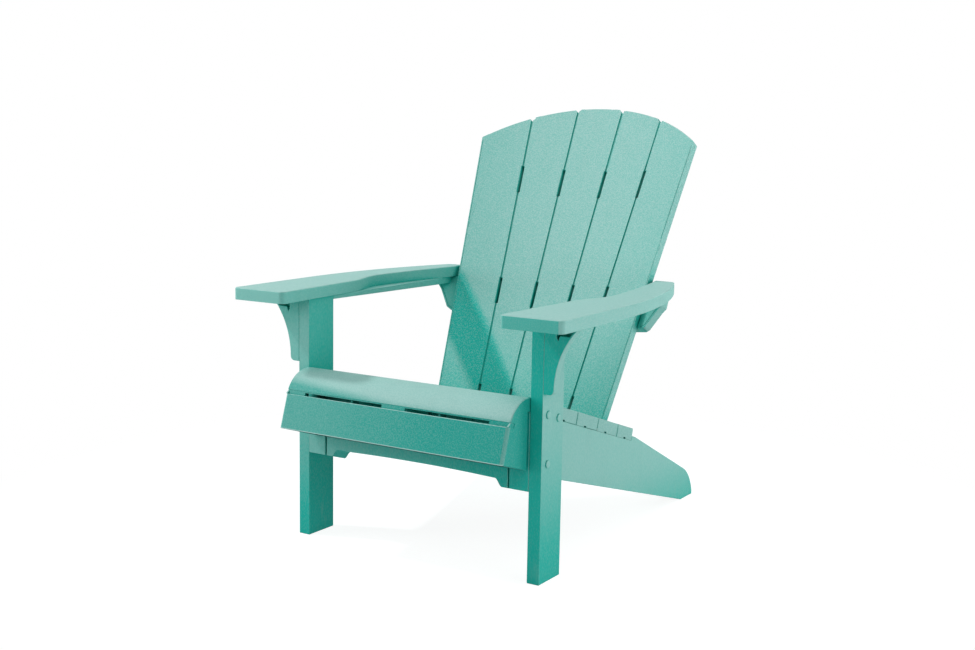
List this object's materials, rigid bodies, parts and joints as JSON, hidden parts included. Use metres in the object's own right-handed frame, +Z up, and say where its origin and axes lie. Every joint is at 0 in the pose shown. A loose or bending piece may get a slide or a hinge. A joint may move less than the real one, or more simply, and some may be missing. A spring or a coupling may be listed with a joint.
{
  "type": "adirondack chair",
  "caption": "Low garden armchair in moulded resin with a reclined fan back, a rolled seat front, paddle arms and sloping side rails that end in rear feet.",
  "frame": {"origin": "on the floor, under the centre of the chair's overall width and depth", "axes": "+Z up, -Y the way the sitter faces, +X the sitter's left"},
  "size_m": [0.81, 0.9324, 0.9557],
  "materials": {
    "resin": "moulded satin with a fine grain",
    "cap_resin": "smooth satin",
    "screw_steel": "zinc-plated"
  },
  "bodies": {
    "root": {"left_side_rail": "resin", "right_side_rail": "resin", "left_front_leg": "resin", "right_front_leg": "resin", "seat_panel": "resin", "back_panel": "resin", "left_arm": "resin", "right_arm": "resin", "left_front_bracket": "resin", "right_front_bracket": "resin", "left_arm_support_rail": "resin", "right_arm_support_rail": "resin", "front_crossbar": "resin", "lower_back_crossbar": "resin", "rear_arm_crossbar": "resin", "leg_to_rail_bolts": "screw_steel", "front_crossbar_bolts": "screw_steel", "bolt_caps": "cap_resin", "front_bracket_screws": "screw_steel", "arm_support_screws": "screw_steel", "arm_to_crossbar_screws": "screw_steel", "back_upper_screws": "screw_steel", "back_lower_screws": "screw_steel", "lower_crossbar_screws": "screw_steel"}
  },
  "joints": []
}
